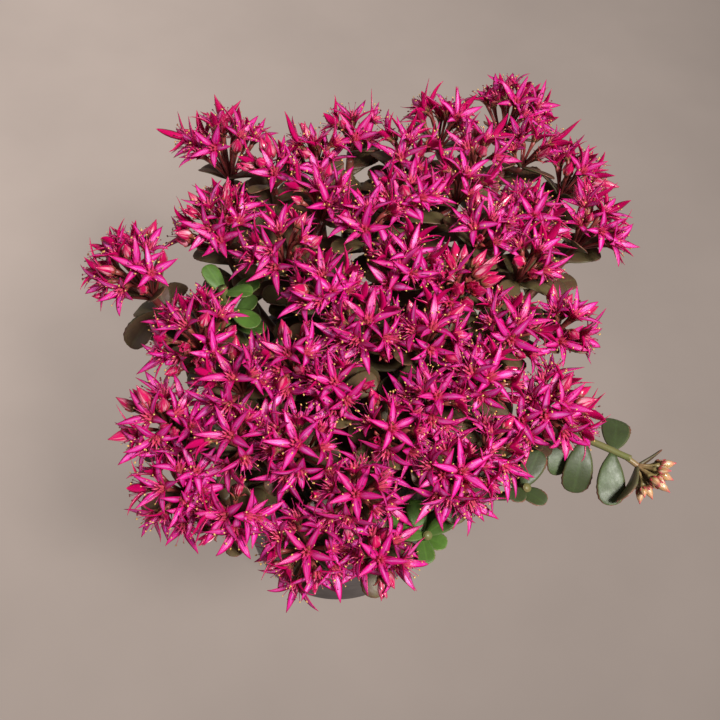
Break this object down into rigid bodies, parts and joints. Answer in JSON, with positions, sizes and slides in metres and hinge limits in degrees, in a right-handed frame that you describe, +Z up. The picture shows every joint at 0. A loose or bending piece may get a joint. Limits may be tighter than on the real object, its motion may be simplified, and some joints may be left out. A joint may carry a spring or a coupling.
{
  "type": "potted sedum",
  "caption": "Flowering stonecrop in a small round plastic nursery pot: a dome of magenta star flowers and buds over fleshy toothed leaves.",
  "frame": {"origin": "centre of the pot's flat underside", "axes": "+Z up the pot's axis, -Y towards the viewer of the picture, +X to the right, where the trailing stem hangs out"},
  "size_m": [0.2005, 0.202, 0.1831],
  "materials": {
    "pot_plastic": "dark taupe grey plastic with a low sheen",
    "soil_mix": "coarse dark potting mix",
    "petals": "satin magenta petals, coral centres and yellow anthers",
    "buds_pale": "satin pale pink buds",
    "leaves_bronze": "fleshy bronze to dark green leaves on red-brown stems, with a soft sheen",
    "leaves_green": "fleshy bright green leaves with a soft sheen"
  },
  "bodies": {
    "root": {"cyme_01": "petals", "cyme_02": "petals", "cyme_03": "petals", "cyme_04": "petals", "cyme_05": "petals", "cyme_06": "petals", "cyme_07": "petals", "cyme_08": "petals", "cyme_09": "petals", "cyme_10": "petals", "cyme_11": "petals", "cyme_12": "petals", "cyme_13": "petals", "cyme_14": "petals", "cyme_15": "petals", "cyme_16": "petals", "cyme_17": "petals", "cyme_18": "petals", "cyme_19": "petals", "cyme_20": "petals", "cyme_21": "petals", "cyme_22": "petals", "cyme_23": "petals", "cyme_24": "petals", "cyme_25": "petals", "cyme_26": "petals", "cyme_27": "petals", "cyme_28": "petals", "cyme_29": "petals", "cyme_30": "petals", "cyme_31": "petals", "cyme_32": "petals", "cyme_33": "petals", "cyme_34": "petals", "cyme_trailing": "buds_pale", "pot": "pot_plastic", "shoot_front": "leaves_green", "shoot_left": "leaves_green", "shoot_right": "leaves_green", "soil": "soil_mix", "stem_01": "leaves_bronze", "stem_02": "leaves_bronze", "stem_03": "leaves_bronze", "stem_04": "leaves_bronze", "stem_05": "leaves_bronze", "stem_06": "leaves_bronze", "stem_07": "leaves_bronze", "stem_08": "leaves_bronze", "stem_09": "leaves_bronze", "stem_10": "leaves_bronze", "stem_11": "leaves_bronze", "stem_12": "leaves_bronze", "stem_13": "leaves_bronze", "stem_14": "leaves_bronze", "stem_15": "leaves_bronze", "stem_16": "leaves_bronze", "stem_17": "leaves_bronze", "stem_18": "leaves_bronze", "stem_19": "leaves_bronze", "stem_trailing": "leaves_bronze"}
  },
  "joints": []
}
